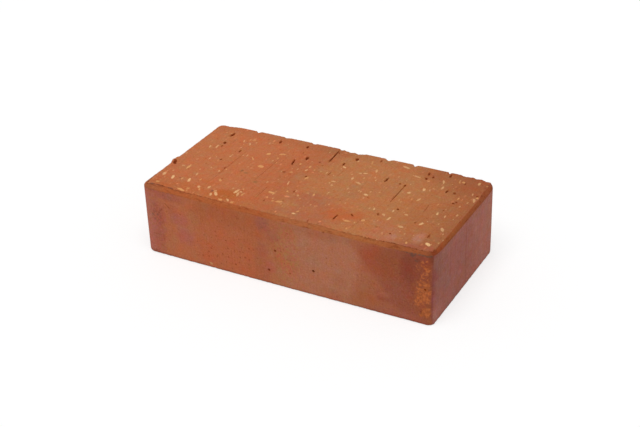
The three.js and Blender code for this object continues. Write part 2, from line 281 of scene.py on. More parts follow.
# Patches: middle (from the left end and from the front), width, depth, colour, strength.
BED_PATCHES = [
    (14, 88, 26, 44, "ochre", 0.3), (38, 68, 24, 16, "ochre", 0.3), (12, 12, 30, 30, "dusk", 0.8),
    (30, 28, 10, 8, "ochre", 0.2), (48, 24, 14, 10, "mustard", 0.5),
    (69.5, 15, 22, 15, "amber", 0.9), (50, 10, 100, 16, "mustard", 0.5),
    (6, 36, 14, 24, "dusk", 0.4), (118, 50, 22, 26, "redder", 0.4), (114, 110, 30, 18, "dusk", 0.8),
    (118, 110, 12, 12, "umber", 0.4), (137, 34, 36, 26, "dull", 0.9),
    (143, 12, 50, 22, "dull", 0.9), (163, 24, 22, 20, "rust", 0.8), (175, 28, 14, 12, "rust", 0.7),
    (157, 60, 14, 30, "slate", 0.4), (172, 74, 26, 18, "slate", 0.25),
    (182, 92, 14, 36, "slate", 0.2), (212, 107, 26, 26, "umber", 0.6),
    (238, 106, 36, 34, "burnt", 0.7), (246, 60, 10, 80, "burnt", 0.3),
    (198, 26, 18, 10, "pink", 0.5), (125, 116, 270, 16, "umber", 0.3),
    (118, 114, 34, 9, "umber", 0.5), (222, 113, 64, 20, "burnt", 0.4),
    (118, 4, 16, 8, "umber", 0.4), (206, 12, 34, 22, "pink", 0.6), (212.5, 12, 7, 8, "mauve", 0.8),
    (230.5, 17, 8, 16, "mauve", 0.9), (243, 10, 8, 8, "mauve", 0.4),
    (236, 5.5, 40, 12, "wine", 0.7), (242, 2, 20, 8, "burnt", 0.4), (240, 9, 18, 14, "burnt", 0.5),
    (243, 112, 24, 16, "burnt", 0.5), (236, 118, 36, 8, "ruddy", 0.6),
    (212, 118.5, 30, 5, "ruddy", 0.6), (249.5, 113, 7, 20, "baked", 0.8),
    (8, 112, 18, 12, "dusk", 0.4), (66.3, 51.8, 4, 2.4, "grit", 0.6),
    (61.4, 53.4, 2.2, 3.6, "grit", 0.8), (80.8, 42, 4, 3.4, "grit", 0.7),
    (57.8, 15.6, 2, 3, "soot", 0.8), (9, 5.4, 6, 2.4, "soot", 0.9), (14, 6.2, 6, 1.6, "soot", 0.6),
    (25, 5.2, 6, 2, "soot", 0.8),
]

# The grains, and the bottom of the pits: dark with soot and with painted shade.
CREAM = (236, 190, 136)
GOLD = (221, 161, 103)
RUST = (220, 138, 96)
PIT_DARK = (119, 49, 8)
PIT_SHARE = 0.97

# The skin that the die smoothed: the front face.
FRONT = {
    "brown": (166, 98, 67), "rust": (167, 94, 63), "olive": (158, 92, 59), "shade": (156, 88, 57),
    "plum": (153, 85, 69), "mauve": (163, 92, 76), "dim": (158, 91, 62), "sand": (163, 100, 68),
    "pink": (162, 104, 78), "bronze": (152, 91, 65), "umber": (138, 78, 53),
    "garnet": (149, 77, 54), "maroon": (128, 66, 50), "wood": (140, 78, 60), "arris": (124, 68, 64),
    "heather": (147, 87, 69), "foot": (134, 72, 52), "drab": (150, 89, 59),
    "chalk": (186, 152, 100), "lilac_highlight": (163, 98, 82), "singed": (110, 57, 38),
}
FRONT_ZONES = [
    (3, "mauve"), (22, "brown"), (46, "brown"), (60, "rust"), (99, "rust"), (110, "dim"),
    (124, "sand"), (143, "pink"), (184, "pink"), (203, "bronze"), (219, "wood"), (246, "umber"),
]
# Patches: middle (from the left end and from the floor), width, height, colour, strength.
FRONT_PATCHES = [
    # The lilac strip on the rounded left arris: pinker clay, and a painted highlight.
    (13, 30, 16, 64, "plum", 0.6), (6, 30, 9, 70, "lilac_highlight", 0.8), (24, 55, 40, 8, "plum", 0.7),
    (36, 37, 14, 12, "mauve", 0.8), (40, 22, 15, 14, "mauve", 0.9), (29, 42, 10, 16, "plum", 0.4),
    (83, 52, 72, 22, "shade", 0.8), (54, 46, 16, 20, "olive", 0.5), (66, 43, 7, 6, "rust", 0.7),
    (98, 36, 14, 30, "olive", 0.4), (112, 52, 14, 16, "plum", 0.8), (122, 54, 14, 12, "dim", 0.6),
    (119, 45, 12, 12, "plum", 0.5), (110, 28, 10, 18, "plum", 0.4), (117, 16, 9, 12, "mauve", 0.6),
    (112, 10, 6, 16, "plum", 0.3), (131, 33, 6, 6, "rust", 0.4), (160, 56, 70, 10, "bronze", 0.6),
    (176, 18, 12, 14, "bronze", 0.4), (184, 44, 22, 26, "pink", 0.5),
    (190, 55, 16, 10, "bronze", 0.7), (203, 46, 22, 24, "garnet", 0.95),
    (209, 36, 14, 12, "garnet", 0.7), (217, 45, 22, 30, "umber", 0.9),
    (231, 42, 13, 42, "maroon", 0.95), (226, 22, 18, 24, "wood", 0.8),
    (214, 7, 18, 12, "bronze", 0.8), (201, 22, 20, 14, "bronze", 0.5), (212, 17, 9, 6, "pink", 0.4),
    (195, 8, 22, 22, "drab", 0.8), (172, 5, 26, 12, "bronze", 0.5), (232, 4, 30, 8, "wood", 0.5),
    (240, 46, 18, 36, "maroon", 0.6), (241, 54, 13, 7, "maroon", 0.6),
    (224, 2, 40, 10, "heather", 0.8), (249.6, 30, 2.6, 80, "arris", 0.9),
    # The foot patches darken the bottom rim: partly dirt, partly painted contact shade.
    (249.4, 58, 5, 10, "singed", 0.7), (125, 0, 500, 2.4, "foot", 0.8), (14, 0, 30, 5, "foot", 0.5),
    (238, 0, 30, 4, "foot", 0.5), (61.9, 3.6, 1.9, 1.8, "chalk", 0.9),
]
# Places with their own grain, in the same terms: middle, width, height, strength.
FRONT_GRAINS = {
    "mottle": [
        (130, 30, 22, 70, 1), (115, 50, 14, 24, 0.5), (228, 30, 44, 60, 0.3), (12, 30, 26, 70, 0.5),
    ],
    "dots": [
        (83, 18, 54, 34, 1), (84, 44, 44, 20, 0.5), (56, 12, 22, 20, 0.8), (130, 24, 24, 44, 0.6),
        (20, 20, 20, 30, 0.4),
    ],
    "soot": [
        (13, 37, 13, 22, 0.75), (24, 54, 14, 6, 0.7), (13, 15, 12, 14, 0.6), (109, 48, 8, 10, 0.75),
        (114, 53, 14, 4, 0.7), (233.7, 56.6, 7, 3, 1), (238, 53, 8, 6, 1),
        (244.5, 58.8, 10, 3, 1.4), (236, 36.9, 5, 5, 0.6), (233.7, 27, 4, 4, 0.6),
        (231, 14, 3, 10, 0.6),
    ],
    "ember": [
        (244.5, 47, 6, 13, 0.75), (241.5, 49.5, 12, 13, 0.62), (245, 52, 4, 8, 0.6),
        (243, 41, 7, 13, 0.65), (241, 33.5, 12, 11, 0.8), (245.5, 32, 5, 13, 0.95),
        (240.5, 25, 15, 16, 0.85), (237, 19, 7, 9, 0.75), (244.6, 10.5, 7, 10, 1.1),
        (240, 7, 4, 7, 0.6),
    ],
}
EMBER = (149, 81, 46)
EMBER_BRIGHT = (178, 100, 57)
# Soot; also the colour of the painted shade line at the foot of the front's roll.
SOOT_AND_SHADE = (92, 68, 58)

# How strongly soft clouds of other tints show on the sides that the photograph doesn't.
CLOUD_SHARE = 0.5
CLOUD_EDGE = 0.4
MORE_OLIVE = 0.1
LESS_PLUM = 0.2
# How far the colours of the front and of the right end go on round the corners, and where on the
# right end the front's give way.
ROUND_CORNER = 10
GIVE_WAY = (2.6, 1)

# Scratches and specks of soot on the front: place, length, width, turn from upright, darkness.
SKIN_MARKS = [
    (24.4, 46.2, 5.4, 0.7, 52, 0.5), (18.4, 41.4, 3.4, 1, -40, 0.45), (15.6, 37.9, 3, 1, -40, 0.4),
    (13.2, 39.2, 2.8, 0.9, 0, 0.25), (10.9, 37.7, 3.4, 0.9, 0, 0.25),
    (28.4, 52.2, 1.8, 1.4, 0, 0.25), (19, 30.6, 1.8, 1.1, 0, 0.3), (12.2, 18.2, 5, 0.8, 90, 0.3),
    (18.4, 16, 5, 0.9, 0, 0.25), (16.7, 8.4, 2.2, 1.4, 60, 0.25), (241, 9.6, 5, 0.9, 0, 0.35),
]

# The right end's skin.
END = {
    "arris": (126, 70, 62), "umber": (132, 79, 67), "mauve": (140, 86, 76), "dusky": (143, 89, 77),
    "pale": (149, 95, 82), "slate": (128, 90, 78), "brown": (135, 81, 64), "streak": (126, 74, 58),
    "lit": (147, 95, 84), "bronze": (149, 95, 74), "foot": (118, 64, 52), "singed": (110, 57, 38),
}
# Here places are from the front.
END_ZONES = [(2, "arris"), (8, "umber"), (28, "mauve"), (58, "mauve"), (74, "dusky"), (94, "pale")]
# Patches: middle (from the front and from the floor), depth, height, colour, strength.
END_PATCHES = [
    (7, 7, 12, 14, "lit", 0.9), (5, 52, 12, 12, "slate", 0.5), (13, 47, 12, 14, "slate", 0.4),
    (24, 52, 18, 10, "slate", 0.4), (18, 33, 12, 20, "slate", 0.3), (27, 24, 7, 10, "slate", 0.4),
    (10, 20, 16, 34, "lit", 0.35), (20, 4, 34, 12, "lit", 0.5), (46, 11, 16, 13, "brown", 0.9),
    (60, 16, 12, 16, "brown", 0.6), (61, 28, 1.6, 66, "streak", 0.9), (48, 27, 3, 8, "streak", 0.4),
    (70, 18, 14, 24, "brown", 0.4), (107, 34, 12, 26, "bronze", 0.5), (90, 55, 14, 3, "slate", 0.4),
    # The foot patch darkens the bottom rim: partly dirt, partly painted contact shade.
    (60, 8, 300, 20, "pale", 0.3), (48, 53, 60, 10, "pale", 0.3), (60, 0, 300, 2.4, "foot", 0.6),
    (0.5, 57, 5, 10, "singed", 0.7),
]

# The rolled upper edge. Its colours along the front (place from the left end) and along the right
# end (place from the front).
ROLL_FRONT_COLOURS = [
    (10, (158, 92, 60)), (22, (169, 93, 54)), (110, (166, 90, 52)), (130, (165, 98, 61)),
    (195, (165, 97, 57)), (222, (154, 86, 51)), (242, (148, 82, 50)), (249, (128, 68, 44)),
]
ROLL_END_COLOURS = [
    (3, (112, 54, 32)), (12, (134, 67, 38)), (30, (139, 76, 42)), (110, (132, 71, 44)),
]
# What the bed's colour is multiplied by on the torn edges, at the back and the left end.
TORN_SHADE = (0.88, 0.85, 0.9)
# The line where the wire left the bed, and how strongly it shows along the front: place, strength.
LINE_COLOUR = (120, 62, 36)
LINE_STRENGTH = [
    (35, 1), (50, 0.8), (70, 0.9), (78, 0.2), (110, 0.4), (170, 0.4), (192, 0.9), (250, 1.1),
]
# The same for the dark line of painted shade at the foot of the roll, where the skin starts.
SHADE_LINE_STRENGTH = [
    (28, 0.3), (45, 0), (215, 0), (226, 0.5), (234, 1), (240, 0.8), (246, 0.5), (249, 0),
]

# ---- The mesh: a sharp box in square cells, finer where detail is, bent to the brick's form ----

COARSE_CELL = 2.5
FINEST_CELL = COARSE_CELL / 8
# How far in from the rolled and torn edges, down from them and round the marks cells are finer.
FRONT_MARGIN = 5.6
END_MARGIN = 4.0
TORN_MARGIN = 4.2
TORN_DEPTH = 3.0
ROLL_MARGIN = 1.0
GRAIN_MARGIN = 0.8
MARK_MARGIN = 0.4
HOLLOW_MARGIN = 0.6
# How much of the right end, at the back, keeps coarse cells.
COARSE_END = 5
# A cell is split where the wanted one is smaller than this share of it.
SPLIT_BELOW = 0.99

# The least that a colour is.
DARKEST = 0.002
# How far apart the noises of two seeds lie, and how each octave differs from the one before.
SEED_STEP = 7.31
FALLING = 1.0
FINER = 2.0


def linear(colour):
    """An sRGB colour, 0 to 255, as linear values."""
    c = np.array(colour, float) / 255
    return np.where(c <= 0.04045, c / 12.92, ((c + 0.055) / 1.055) ** 2.4)


def clay(colour, light):
    """The clay's own colour, for one that the studio shows where that share of the light falls."""
    return np.clip((linear(colour) - SHEEN) / light, DARKEST, 1)


def from_corner(points):
    """Points of the CAD frame, measured from the left end and from the front."""
    return points[:, 0] + LENGTH / 2, points[:, 1] + WIDTH / 2


def to_sides(box_points):
    """How far points of the sharp box are from its front, back, left and right."""
    x, y, _ = box_points.T
    return WIDTH / 2 + y, WIDTH / 2 - y, LENGTH / 2 + x, LENGTH / 2 - x


def smooth_step(value, start, end):
    t = np.clip((value - start) / (end - start), 0, 1)
    return t * t * (3 - 2 * t)


def bump(place, middle, width):
    """1 in the middle and 0 from half the width outwards."""
    t = np.clip(np.abs(place - middle) / (width / 2), 0, 1)
    return (1 + np.cos(np.pi * t)) / 2


def lumps(points, height, size, seed, octaves=2):
    """Smooth noise of about that height. size is how big its lumps are: one value, or three."""
    scaled = points / np.broadcast_to(size, 3) + seed * SEED_STEP
    return height * np.array([noise.fractal(Vector(p), FALLING, FINER, octaves) for p in scaled])


def oval(u, v, x, y, length, width, turn):
    """How far places on a face are from an oval's middle, as a share of its radius."""
    angle = np.radians(turn)
    dx, dy = u - x, v - y
    lengthways = dy * np.cos(angle) - dx * np.sin(angle)
    sideways = dx * np.cos(angle) + dy * np.sin(angle)
    return np.hypot(lengthways / (length / 2), sideways / (width / 2))


def near(u, v, x, y, length, width, turn, margin):
    """Which places on a face are in an oval, or less than the margin outside it."""
    return oval(u, v, x, y, length + 2 * margin, width + 2 * margin, turn) < 1


def wanted_cell(points):
    """The cell size that each point of the sharp box needs."""
    z = points[:, 2]
    depth = HEIGHT - z
    px, py = from_corner(points)
    to_front, to_back, to_left, to_right = to_sides(points)
    top, front, right = depth < ON_SIDE, to_front < ON_SIDE, to_right < ON_SIDE
    front_margin = FRONT_MARGIN + ENTRY_EXTRA_REACH * bump(px, 0, 2 * ENTRY_LENGTH)
    rolled = (to_front < front_margin) | (np.minimum(to_left, to_right) < END_MARGIN)
    rolled |= to_back < TORN_MARGIN
    roll_depth = np.where(right, ROLL_RIGHT.drop + ROLL_MARGIN, TORN_DEPTH)
    size = np.full(len(points), COARSE_CELL)
    size[top | front | (z < COARSE_CELL)] = COARSE_CELL / 2
    size[right & (to_back > COARSE_END)] = COARSE_CELL / 2
    size[(top & rolled) | (~top & (depth < roll_depth))] = COARSE_CELL / 4
    size[(to_back < TORN_MARGIN) & (depth < TORN_DEPTH)] = FINEST_CELL
    fine = np.zeros(len(points), bool)
    for *place, _ in CREAM_GRAINS + GOLD_GRAINS + RUST_GRAINS:
        fine |= top & near(px, py, *place, GRAIN_MARGIN)
    for *place, _ in SKIN_MARKS:
        fine |= front & near(px, z, *place, MARK_MARGIN)
    size[fine] = np.minimum(size[fine], COARSE_CELL / 4)
    for *place, _, turn in CRACKS + PITS:
        size[top & near(px, py, *place, turn, HOLLOW_MARGIN)] = FINEST_CELL
    for *place, width, _, _ in SKIN_PITS:
        size[front & near(px, z, *place, width, width, 0, width / 2)] = FINEST_CELL
    return size


def cell_rim(axis, size, corner, step):
    """The lattice points round a cell, anticlockwise seen from outside the far side."""
    walk = range(0, size, step)
    rim = [(i, 0) for i in walk] + [(size, i) for i in walk]
    rim += [(size - i, size) for i in walk] + [(0, size - i) for i in walk]
    points = []
    for du, dv in rim:
        point = [int(c) for c in corner]
        point[(axis + 1) % 3] += du
        point[(axis + 2) % 3] += dv
        points.append(tuple(point))
    return points


def split_side(axis, end, counts, step, origin):
    """The cells of one side of the box, each split in four until it is as fine as wanted."""
    u, v = (axis + 1) % 3, (axis + 2) % 3
    size = round(COARSE_CELL / step)
    grid = np.meshgrid(np.arange(0, counts[u], size), np.arange(0, counts[v], size), indexing="ij")
    corner = np.zeros((grid[0].size, 3), int)
    corner[:, axis] = end
    corner[:, u] = grid[0].ravel()
    corner[:, v] = grid[1].ravel()
    leaves = []
    while len(corner):
        middle = corner.astype(float)
        middle[:, [u, v]] += size / 2
        split = wanted_cell(origin + middle * step) < size * step * SPLIT_BELOW
        split &= size > 1
        leaves += [(size, tuple(c)) for c in corner[~split]]
        size //= 2
        quarters = np.zeros((4, 1, 3), int)
        quarters[:, 0, [u, v]] = [(0, 0), (0, size), (size, 0), (size, size)]
        corner = (corner[split] + quarters).reshape(-1, 3)
    return leaves


def sharp_box():
    """Vertices and faces of the box. A cell beside finer ones takes their corners into its rim."""
    step = FINEST_CELL
    counts = np.rint(np.array([LENGTH, WIDTH, HEIGHT]) / step).astype(int)
    origin = np.array([-LENGTH / 2, -WIDTH / 2, 0])
    cells = []
    for axis in range(3):
        for end in (0, counts[axis]):
            leaves = split_side(axis, end, counts, step, origin)
            cells += [(axis, end > 0, *leaf) for leaf in leaves]
    index = {}
    for axis, _, size, corner in cells:
        for point in cell_rim(axis, size, corner, size):
            index.setdefault(point, len(index))
    faces = []
    for axis, outer, size, corner in cells:
        rim = [index[p] for p in cell_rim(axis, size, corner, 1) if p in index]
        faces.append(rim if outer else rim[::-1])
    return origin + np.array(list(index)) * step, faces


# How wide the blend is where two edges meet, and how far in from a roll its bend dies out.
EDGE_BLEND = 4.0
RAMP = 12.0
# How much the edges vary: raggedly with the clay's grit, and in slow waves along them. Here and
# below, a noise is its height, size, seed, and octaves where they aren't two.
RAGGED = (1, 2.2, 3, 3)
FRONT_REACH_RAGGED = 0.4
FRONT_DROP_RAGGED = 0.15
LEFT_REACH_RAGGED = 0.25
BACK_RAGGED = 0.5
FRONT_REACH_WAVE = (0.6, 6, 4)
FRONT_DROP_WAVE = (0.2, 9, 5)
LEFT_DROP_WAVE = (0.6, 5, 6)
# The least and the most that the foot's wear comes to.
WORN_LEAST = 0.3
WORN_MOST = 2
# The groove under the line where the wire left the bed.
GROOVE_DEPTH = 0.35
GROOVE_WIDTH = 0.5
# How uneven the rims of the bed's hollows and of the front's scratches are. Then where the dark
# starts and where it is full, as shares of an oval's radius.
PIT_WOBBLE = (0.3, 1.3, 11)
MARK_WOBBLE = (0.3, 1.3, 13)
PIT_RIM = (1.35, 0.7)
SKIN_PIT_RIM = (1.3, 0.5)
MARK_RIM = (1.5, 0.6)
# How far the sides fall back towards their ends at the top, and what share of that at the foot.
BOW_FRONT = 0.85
BOW_BACK = 0.25
BOW_RIGHT = 0.15
BOW_FOOT_SHARE = 0.5


def edge_sizes(points):
    """The roll at each point: how far it reaches in, how far it comes down, and its fullness."""
    px, py = from_corner(points)
    ragged = lumps(points * [1, 1, 0], *RAGGED)
    along_x = points * [1, 0, 0]

    reach = ROLL_FRONT.reach + ENTRY_EXTRA_REACH * bump(px, 0, 2 * ENTRY_LENGTH)
    reach -= NARROWER_REACH * bump(px, *NARROWER)
    reach += lumps(along_x, *FRONT_REACH_WAVE)
    reach += FRONT_REACH_RAGGED * ragged
    drop = ROLL_FRONT.drop + lumps(along_x, *FRONT_DROP_WAVE) + FRONT_DROP_RAGGED * ragged
    front = Roll(reach, drop, ROLL_FRONT.fullness)

    tear = np.zeros(len(points))
    for place, width, depth in TEARS:
        tear = np.maximum(tear, depth * bump(px, place, width))
    tear = np.maximum(tear + BACK_RAGGED * ragged, 0)
    deepest = max(depth for _, _, depth in TEARS)
    share = np.clip(tear / deepest, 0, 1)
    back = Roll(
        ROLL_BACK.reach * (1 - BACK_SHARPER) + tear,
        ROLL_BACK.drop * (1 - BACK_SHARPER) + tear * TEAR_DROP_SHARE,
        ROLL_BACK.fullness + (TEAR_FULLNESS - ROLL_BACK.fullness) * share,
    )

    lip = np.maximum(bump(py, *LIP), SHOULDER_SHARE * bump(py, *SHOULDER))
    wavy = lumps(points * [0, 1, 0], *LEFT_DROP_WAVE)
    sharper = 1 - LEFT_SHARPER * smooth_step(py, LIP[0] - LIP[1], 0)
    left = Roll(
        ROLL_LEFT.reach * sharper - LIP_REACH * lip + LEFT_REACH_RAGGED * ragged * (1 - lip),
        ROLL_LEFT.drop * sharper - (LIP_RISE + LIP_CREST) * lip + wavy * (1 - lip),
        ROLL_LEFT.fullness,
    )
    right = ROLL_RIGHT._replace(reach=ROLL_RIGHT.reach + WIDER_REACH * bump(py, *WIDER))

    distances = to_sides(points)
    weights = [np.exp(-distance / EDGE_BLEND) for distance in distances]
    blended = []
    for sizes in zip(front, back, left, right):
        blended.append(sum(w * size for w, size in zip(weights, sizes)) / sum(weights))
    reach, drop, fullness = blended
    to_corner = distances[0] + distances[3]
    drop = drop * (1 - CORNER_SHALLOWER * np.exp(-to_corner / CORNER_SIZE))

    lower = points[:, 2] < HEIGHT / 2
    worn = np.clip(1 + FOOT_WEAR * ragged, WORN_LEAST, WORN_MOST)
    reach = np.where(lower, FOOT.reach * worn, reach)
    drop = np.where(lower, FOOT.drop * worn, drop)
    return reach, drop, np.where(lower, FOOT.fullness, fullness)


def roll_height(inset, reach, drop, fullness):
    """How far the rolled edge lies below the bed, at a distance in from the side."""
    t = np.clip(1 - inset / reach, 0, 1)
    return drop * (1 - (1 - t**fullness) ** (1 / fullness))


def rounded_min(a, b, radius):
    """The smaller of two distances, with the corner between them rounded."""
    short_a = np.clip(radius - a, 0, None)
    short_b = np.clip(radius - b, 0, None)
    in_corner = (short_a > 0) & (short_b > 0)
    return np.where(in_corner, radius - np.hypot(short_a, short_b), np.minimum(a, b))


def shape(points):
    """Bends the sharp box to the brick: rounded upright corners, rolled and torn edges.

    Also gives how far each point is inside the cut of the wire (negative on the skin) and how far
    it is inside the rolled band (negative below it and on the bed)."""
    x, y, z = points.T
    reach, drop, fullness = edge_sizes(points)
    half_way = 1 - 0.5 ** (1 / fullness)
    first_drop = drop * half_way

    # Down the sides: distance from the nearer bed, then the inset that the roll has there.
    depth = np.minimum(z, HEIGHT - z)
    shifted = depth + first_drop * np.clip(1 - depth / RAMP, 0, 1)
    inset = roll_height(shifted, drop, reach, fullness)

    # In from the sides, along each axis.
    dx = LENGTH / 2 - np.abs(x)
    dy = WIDTH / 2 - np.abs(y)
    dx = dx + inset * np.clip(1 - dx / RAMP, 0, 1)
    dy = dy + inset * np.clip(1 - dy / RAMP, 0, 1)

    # Across the bed the roll falls away towards the side.
    on_bed = depth < ON_SIDE
    fall = roll_height(np.minimum(dx, dy), reach, drop, fullness)
    below = np.where(on_bed, fall, shifted)
    out_z = np.where(z < HEIGHT / 2, below, HEIGHT - below)

    # The square corner of the plan becomes a quarter circle.
    front_radius = np.where(x < 0, ARRIS_FRONT_LEFT, ARRIS_FRONT_RIGHT)
    back_radius = np.where(x < 0, ARRIS_BACK_LEFT, ARRIS_BACK_RIGHT)
    radius = np.where(y < 0, front_radius, back_radius)
    a = np.clip(radius - dx, 0, None)
    b = np.clip(radius - dy, 0, None)
    far = np.hypot(a, b)
    pull = np.where(far > 0, np.maximum(a, b) / np.where(far > 0, far, 1), 1)
    corner = (a > 0) & (b > 0)
    dx = np.where(corner, radius - a * pull, dx)
    dy = np.where(corner, radius - b * pull, dy)

    near_corner = (x > 0) & (y < 0)
    inwards = rounded_min(dx - reach, dy - reach, np.where(near_corner, BED_CORNER, 0))
    cut = np.where(on_bed, inwards, -shifted)

    # The sides bow out a little in their middles.
    end_share, side_share = x / (LENGTH / 2), y / (WIDTH / 2)
    bow = np.where(y < 0, BOW_FRONT, BOW_BACK)
    bow = bow * (BOW_FOOT_SHARE + (1 - BOW_FOOT_SHARE) * z / HEIGHT)
    dy = dy + bow * end_share**2 * np.abs(side_share)
    dx = dx + BOW_RIGHT * side_share**2 * np.clip(end_share, 0, 1)
    out_x = np.sign(x) * (LENGTH / 2 - dx)
    out_y = np.sign(y) * (WIDTH / 2 - dy)

    band = np.where(on_bed, -cut, drop - shifted)
    band = np.where(z < HEIGHT / 2, -drop, band)
    return np.stack([out_x, out_y, out_z], -1), cut, band


def hollow_of(u, v, holes, wobble, rim):
    """How deep holes are at places on a face, and how dark they look.

    A hole is its place, length, width, turn, depth and darkness. rim is where its dark starts and
    where it is full."""
    depth = np.zeros(len(u))
    dark = np.zeros(len(u))
    for *place, deep, darkness in holes:
        q = oval(u, v, *place) + wobble
        depth = np.maximum(depth, deep * np.sqrt(np.clip(1 - q, 0, 1)))
        dark = np.maximum(dark, darkness * smooth_step(q, *rim))
    return depth, dark


def bed_hollow_of(points):
    """The cracks and pits of the upper bed."""
    # A hollow is darker the deeper it is: painted shade, with some soot.
    holes = [(*place, turn, deep, PIT_SHARE * min(deep, 1)) for *place, deep, turn in CRACKS + PITS]
    return hollow_of(*from_corner(points), holes, lumps(points, *PIT_WOBBLE), PIT_RIM)


def skin_hollow_of(points):
    """The pits in the front face, whose scratches and soot marks are only dark."""
    px, _ = from_corner(points)
    pz = points[:, 2]
    pits = [(x, z, size, size, 0, deep, darkness) for x, z, size, deep, darkness in SKIN_PITS]
    depth, dark = hollow_of(px, pz, pits, 0, SKIN_PIT_RIM)
    marks = [(*place, 0, darkness) for *place, darkness in SKIN_MARKS]
    _, soot = hollow_of(px, pz, marks, lumps(points, *MARK_WOBBLE), MARK_RIM)
    return depth, np.maximum(dark, soot)


# A grain's value where there is none.
OUTSIDE = -2.0


def grain_of(points):
    """How far each point is inside a grain (negative outside), that grain's colour and strength."""
    px, py = from_corner(points)
    inside = np.full(len(points), OUTSIDE)
    share = np.zeros(len(points))
    colour = np.zeros((len(points), 3))
    for grains, tint in ((CREAM_GRAINS, CREAM), (GOLD_GRAINS, GOLD), (RUST_GRAINS, RUST)):
        for x, y, length, width, turn, strength in grains:
            value = (1 - oval(px, py, x, y, length, width, turn)) * min(length, width) / 2
            better = value > inside
            share[better] = strength
            colour[better] = clay(tint, BED_LIGHT)
            inside = np.maximum(inside, value)
    return inside, share, colour


def blend(colour, other, share):
    """Mixes a linear colour into the colours of the points, each by its own share."""
    return colour + (other - colour) * np.asarray(share)[:, None]


def along(stops, place, light):
    """The clay's colour at each place, blended between stops of a place and a colour."""
    places = [stop[0] for stop in stops]
    colours = np.array([clay(stop[1], light) for stop in stops])
    return np.stack([np.interp(place, places, channel) for channel in colours.T], -1)


# The broad and the fine noise that bend the outlines of patches and zones, and how far they bend a
# patch, as shares of its radius, and a zone, in millimetres. Then where a patch starts and where it
# is full.
WARPS = ((1, 16, 21, 3), (1, 5, 22, 3))
PATCH_BEND = (0.35, 0.2)
ZONE_BEND = (12, 4)
PATCH_RIM = (1.5, 0.4)


def mask(ovals, u, v, warp):
    """How strongly soft ovals cover each point."""
    bend = PATCH_BEND[0] * warp[0] + PATCH_BEND[1] * warp[1]
    cover = np.zeros(len(u))
    for place, height, width, tall, strength in ovals:
        q = np.hypot((u - place) / (width / 2), (v - height) / (tall / 2)) + bend
        cover = np.maximum(cover, strength * smooth_step(q, *PATCH_RIM))
    return cover


def paint(palette, light, zones, patches, u, v, warp):
    """One face: its zones, then its patches. warp is two noises that bend their outlines."""
    stops = [(place, palette[name]) for place, name in zones]
    colour = along(stops, u + ZONE_BEND[0] * warp[0] + ZONE_BEND[1] * warp[1], light)
    for *oval_of, name, strength in patches:
        cover = mask([(*oval_of, strength)], u, v, warp)
        colour = blend(colour, clay(palette[name], light), np.clip(cover, 0, 1))
    return colour


def skin_colour(points, box_points, warp):
    """The front and the right end as photographed, and the hidden sides in the same tints."""
    px, py = from_corner(points)
    height = points[:, 2]
    colour = np.tile(clay(FRONT["brown"], FRONT_LIGHT), (len(points), 1))
    clouds = {"mauve": warp[0], "olive": MORE_OLIVE - warp[0], "plum": warp[1] - LESS_PLUM}
    for name, cloud in clouds.items():
        share = CLOUD_SHARE * smooth_step(cloud, 0, CLOUD_EDGE)
        colour = blend(colour, clay(FRONT[name], FRONT_LIGHT), share)

    # Each of the two faces goes on round its corners. The right end gives way to the front early.
    to_front, _, _, to_right = to_sides(box_points)
    end = paint(END, END_LIGHT, END_ZONES, END_PATCHES, py, height, warp)
    colour = blend(colour, end, smooth_step(to_right, ROUND_CORNER, 0))
    front = paint(FRONT, FRONT_LIGHT, FRONT_ZONES, FRONT_PATCHES, px, height, warp)
    on_right = to_right < ON_SIDE
    share = smooth_step(to_front, ROUND_CORNER, 0)
    share = np.where(on_right, smooth_step(to_front, *GIVE_WAY), share)
    return blend(colour, front, share)


# How far the front's and the right end's baked colours go into each other at the corner, and those
# two and the torn edges'.
MITRE = 1
TORN_BLEND = 3


def band_colour(points, box_points, bed):
    """The rolled edge: baked along the front and the right end, and like the bed elsewhere."""
    px, py = from_corner(points)
    to_front, to_back, to_left, to_right = to_sides(box_points)
    front = along(ROLL_FRONT_COLOURS, px, ROLL_FRONT_LIGHT)
    end = along(ROLL_END_COLOURS, py, ROLL_END_LIGHT)
    colour = blend(front, end, smooth_step(to_front - to_right, -MITRE, MITRE))
    plain = np.minimum(to_front, to_right) - np.minimum(to_back, to_left)
    return blend(colour, bed * TORN_SHADE, smooth_step(plain, -TORN_BLEND, TORN_BLEND))


def vertex_normals(mesh):
    normals = np.zeros(len(mesh.vertices) * 3)
    mesh.vertex_normals.foreach_get("vector", normals)
    return normals.reshape(-1, 3)


# The wire's drag lines and the clay's swells, and how far they lie below the form. Then how far the
# drag lines go over the cut's edge.
FINE_DRAG = (0.05, (1.6, 40, 40), 31)
BROAD_DRAG = (0.08, (6, 90, 90), 32)
SWELL = (0.1, 45, 33)
SAWN_BELOW = 0.02
BELOW = 0.04
SAWN_EDGE = 0.3


def relief_of(points, cut):
    """Fine relief: the wire's drag lines across the brick on both beds. The skin only swells."""
    sawn = smooth_step(cut, -SAWN_EDGE, SAWN_EDGE)
    drag = lumps(points, *FINE_DRAG) + lumps(points, *BROAD_DRAG)
    return sawn * (drag - SAWN_BELOW) + lumps(points, *SWELL) - BELOW


# The lines along the front's roll: how uneven, where they fade away from the front, how far down
# the side they may lie. Then where the ends' own streaks fade away.
LINE_UNEVEN = (0.6, 4, 12)
LINE_FADE = (24, 8)
LINE_DEPTH = 4
END_FADE = (4, 1)


def edge_lines(points, box_points):
    """How strongly the lines along the front's roll show: the one on the bed and the one below."""
    px, py = from_corner(points)
    uneven = 1 + lumps(points, *LINE_UNEVEN)
    on_roll = smooth_step(py, *LINE_FADE) * (box_points[:, 2] > HEIGHT - LINE_DEPTH)
    strengths = (LINE_STRENGTH, SHADE_LINE_STRENGTH)
    return [np.interp(px, *zip(*stops)) * uneven * on_roll for stops in strengths]


